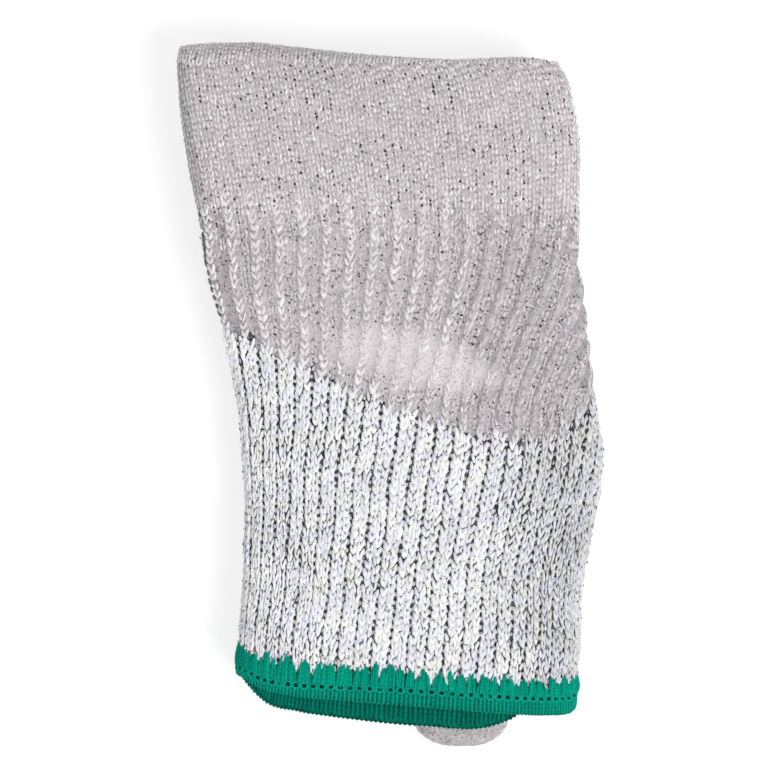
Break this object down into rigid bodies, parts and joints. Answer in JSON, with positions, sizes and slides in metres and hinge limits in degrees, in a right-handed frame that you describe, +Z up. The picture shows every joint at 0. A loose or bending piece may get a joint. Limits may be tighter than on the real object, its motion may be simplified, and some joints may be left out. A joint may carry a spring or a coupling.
{
  "type": "cut resistant glove",
  "caption": "Knitted cut resistant work glove with a dipped palm and a long ribbed cuff, folded in half for storage.",
  "frame": {"origin": "under the middle of the folded glove's box, on the surface it lies on", "axes": "+Y from the hem towards the fold, +Z up through the layers, +X towards the thumb side"},
  "size_m": [0.0907, 0.1492, 0.0256],
  "materials": {
    "plain_knit": "matt plain knit of white cut resistant yarn with dark specks",
    "rib_knit": "matt ribbed knit of white cut resistant yarn with dark specks",
    "crease_knit": "matt plain knit, creased and dipped",
    "polyurethane_dip": "matt foamed polyurethane dip, light grey",
    "elastic_yarn": "covered elastic yarn",
    "hem_thread": "green textured polyester overlock thread"
  },
  "bodies": {
    "hand": {"palm_knit": "plain_knit", "palm_dip": "polyurethane_dip", "fold_web": "crease_knit", "thumb_web": "crease_knit"},
    "heel": {"heel_knit": "plain_knit", "heel_dip": "polyurethane_dip"},
    "cuff": {"cuff_rib": "rib_knit", "cuff_dip": "polyurethane_dip", "cuff_elastic": "elastic_yarn", "hem_overlock": "hem_thread", "hem_chain": "hem_thread"},
    "index_root": {"index_root_knit": "plain_knit", "index_root_dip": "polyurethane_dip"},
    "index_mid": {"index_mid_knit": "plain_knit", "index_mid_dip": "polyurethane_dip"},
    "index_tip": {"index_tip_knit": "plain_knit", "index_tip_dip": "polyurethane_dip"},
    "middle_root": {"middle_root_knit": "plain_knit", "middle_root_dip": "polyurethane_dip"},
    "middle_mid": {"middle_mid_knit": "plain_knit", "middle_mid_dip": "polyurethane_dip"},
    "middle_tip": {"middle_tip_knit": "plain_knit", "middle_tip_dip": "polyurethane_dip"},
    "ring_root": {"ring_root_knit": "plain_knit", "ring_root_dip": "polyurethane_dip"},
    "ring_mid": {"ring_mid_knit": "plain_knit", "ring_mid_dip": "polyurethane_dip"},
    "ring_tip": {"ring_tip_knit": "plain_knit", "ring_tip_dip": "polyurethane_dip"},
    "little_root": {"little_root_knit": "plain_knit", "little_root_dip": "polyurethane_dip"},
    "little_mid": {"little_mid_knit": "plain_knit", "little_mid_dip": "polyurethane_dip"},
    "little_tip": {"little_tip_knit": "plain_knit", "little_tip_dip": "polyurethane_dip"},
    "thumb_root": {"thumb_root_knit": "plain_knit", "thumb_root_dip": "polyurethane_dip"},
    "thumb_tip": {"thumb_tip_knit": "plain_knit", "thumb_tip_dip": "polyurethane_dip"}
  },
  "joints": [
    {"name": "cuff_fold", "type": "hinge", "parent": "hand", "child": "heel", "pos_m": [-0.00005, 0.0704, 0.0138], "axis": [-1, 0, 0], "range_deg": [0, 180], "deforming": ["fold_web"]},
    {"name": "wrist_bend", "type": "hinge", "parent": "heel", "child": "cuff", "pos_m": [-0.00005, 0.0378, 0.0258], "axis": [-1, 0, 0], "range_deg": [0, 90]},
    {"name": "index_knuckle", "type": "hinge", "parent": "hand", "child": "index_root", "pos_m": [0.03265, 0.0044, 0], "axis": [1, 0, 0], "range_deg": [0, 90]},
    {"name": "index_middle_joint", "type": "hinge", "parent": "index_root", "child": "index_mid", "pos_m": [0.03265, -0.02414, 0], "axis": [1, 0, 0], "range_deg": [0, 100]},
    {"name": "index_end_joint", "type": "hinge", "parent": "index_mid", "child": "index_tip", "pos_m": [0.03265, -0.04464, 0], "axis": [1, 0, 0], "range_deg": [0, 70]},
    {"name": "middle_knuckle", "type": "hinge", "parent": "hand", "child": "middle_root", "pos_m": [0.01445, 0.0044, 0], "axis": [1, 0, 0], "range_deg": [0, 90]},
    {"name": "middle_middle_joint", "type": "hinge", "parent": "middle_root", "child": "middle_mid", "pos_m": [0.01445, -0.02918, 0], "axis": [1, 0, 0], "range_deg": [0, 100]},
    {"name": "middle_end_joint", "type": "hinge", "parent": "middle_mid", "child": "middle_tip", "pos_m": [0.01445, -0.05328, 0], "axis": [1, 0, 0], "range_deg": [0, 70]},
    {"name": "ring_knuckle", "type": "hinge", "parent": "hand", "child": "ring_root", "pos_m": [-0.00445, 0.0044, 0], "axis": [1, 0, 0], "range_deg": [0, 90]},
    {"name": "ring_middle_joint", "type": "hinge", "parent": "ring_root", "child": "ring_mid", "pos_m": [-0.00445, -0.0254, 0], "axis": [1, 0, 0], "range_deg": [0, 100]},
    {"name": "ring_end_joint", "type": "hinge", "parent": "ring_mid", "child": "ring_tip", "pos_m": [-0.00445, -0.0468, 0], "axis": [1, 0, 0], "range_deg": [0, 70]},
    {"name": "little_knuckle", "type": "hinge", "parent": "hand", "child": "little_root", "pos_m": [-0.02145, 0.0044, 0], "axis": [1, 0, 0], "range_deg": [0, 90]},
    {"name": "little_middle_joint", "type": "hinge", "parent": "little_root", "child": "little_mid", "pos_m": [-0.02145, -0.01952, 0], "axis": [1, 0, 0], "range_deg": [0, 100]},
    {"name": "little_end_joint", "type": "hinge", "parent": "little_mid", "child": "little_tip", "pos_m": [-0.02145, -0.03672, 0], "axis": [1, 0, 0], "range_deg": [0, 70]},
    {"name": "thumb_swing", "type": "hinge", "parent": "hand", "child": "thumb_root", "pos_m": [0.03495, 0.0464, 0.0076], "axis": [0, -1, 0], "range_deg": [0, 180], "deforming": ["thumb_web"]},
    {"name": "thumb_joint", "type": "hinge", "parent": "thumb_root", "child": "thumb_tip", "pos_m": [0.00505, 0.04113, 0], "axis": [0.1736, -0.9848, 0], "range_deg": [0, 90]}
  ],
  "couplings": [
    {"joint": "index_end_joint", "follows": "index_middle_joint", "ratio": 0.7},
    {"joint": "middle_end_joint", "follows": "middle_middle_joint", "ratio": 0.7},
    {"joint": "ring_end_joint", "follows": "ring_middle_joint", "ratio": 0.7},
    {"joint": "little_end_joint", "follows": "little_middle_joint", "ratio": 0.7}
  ]
}
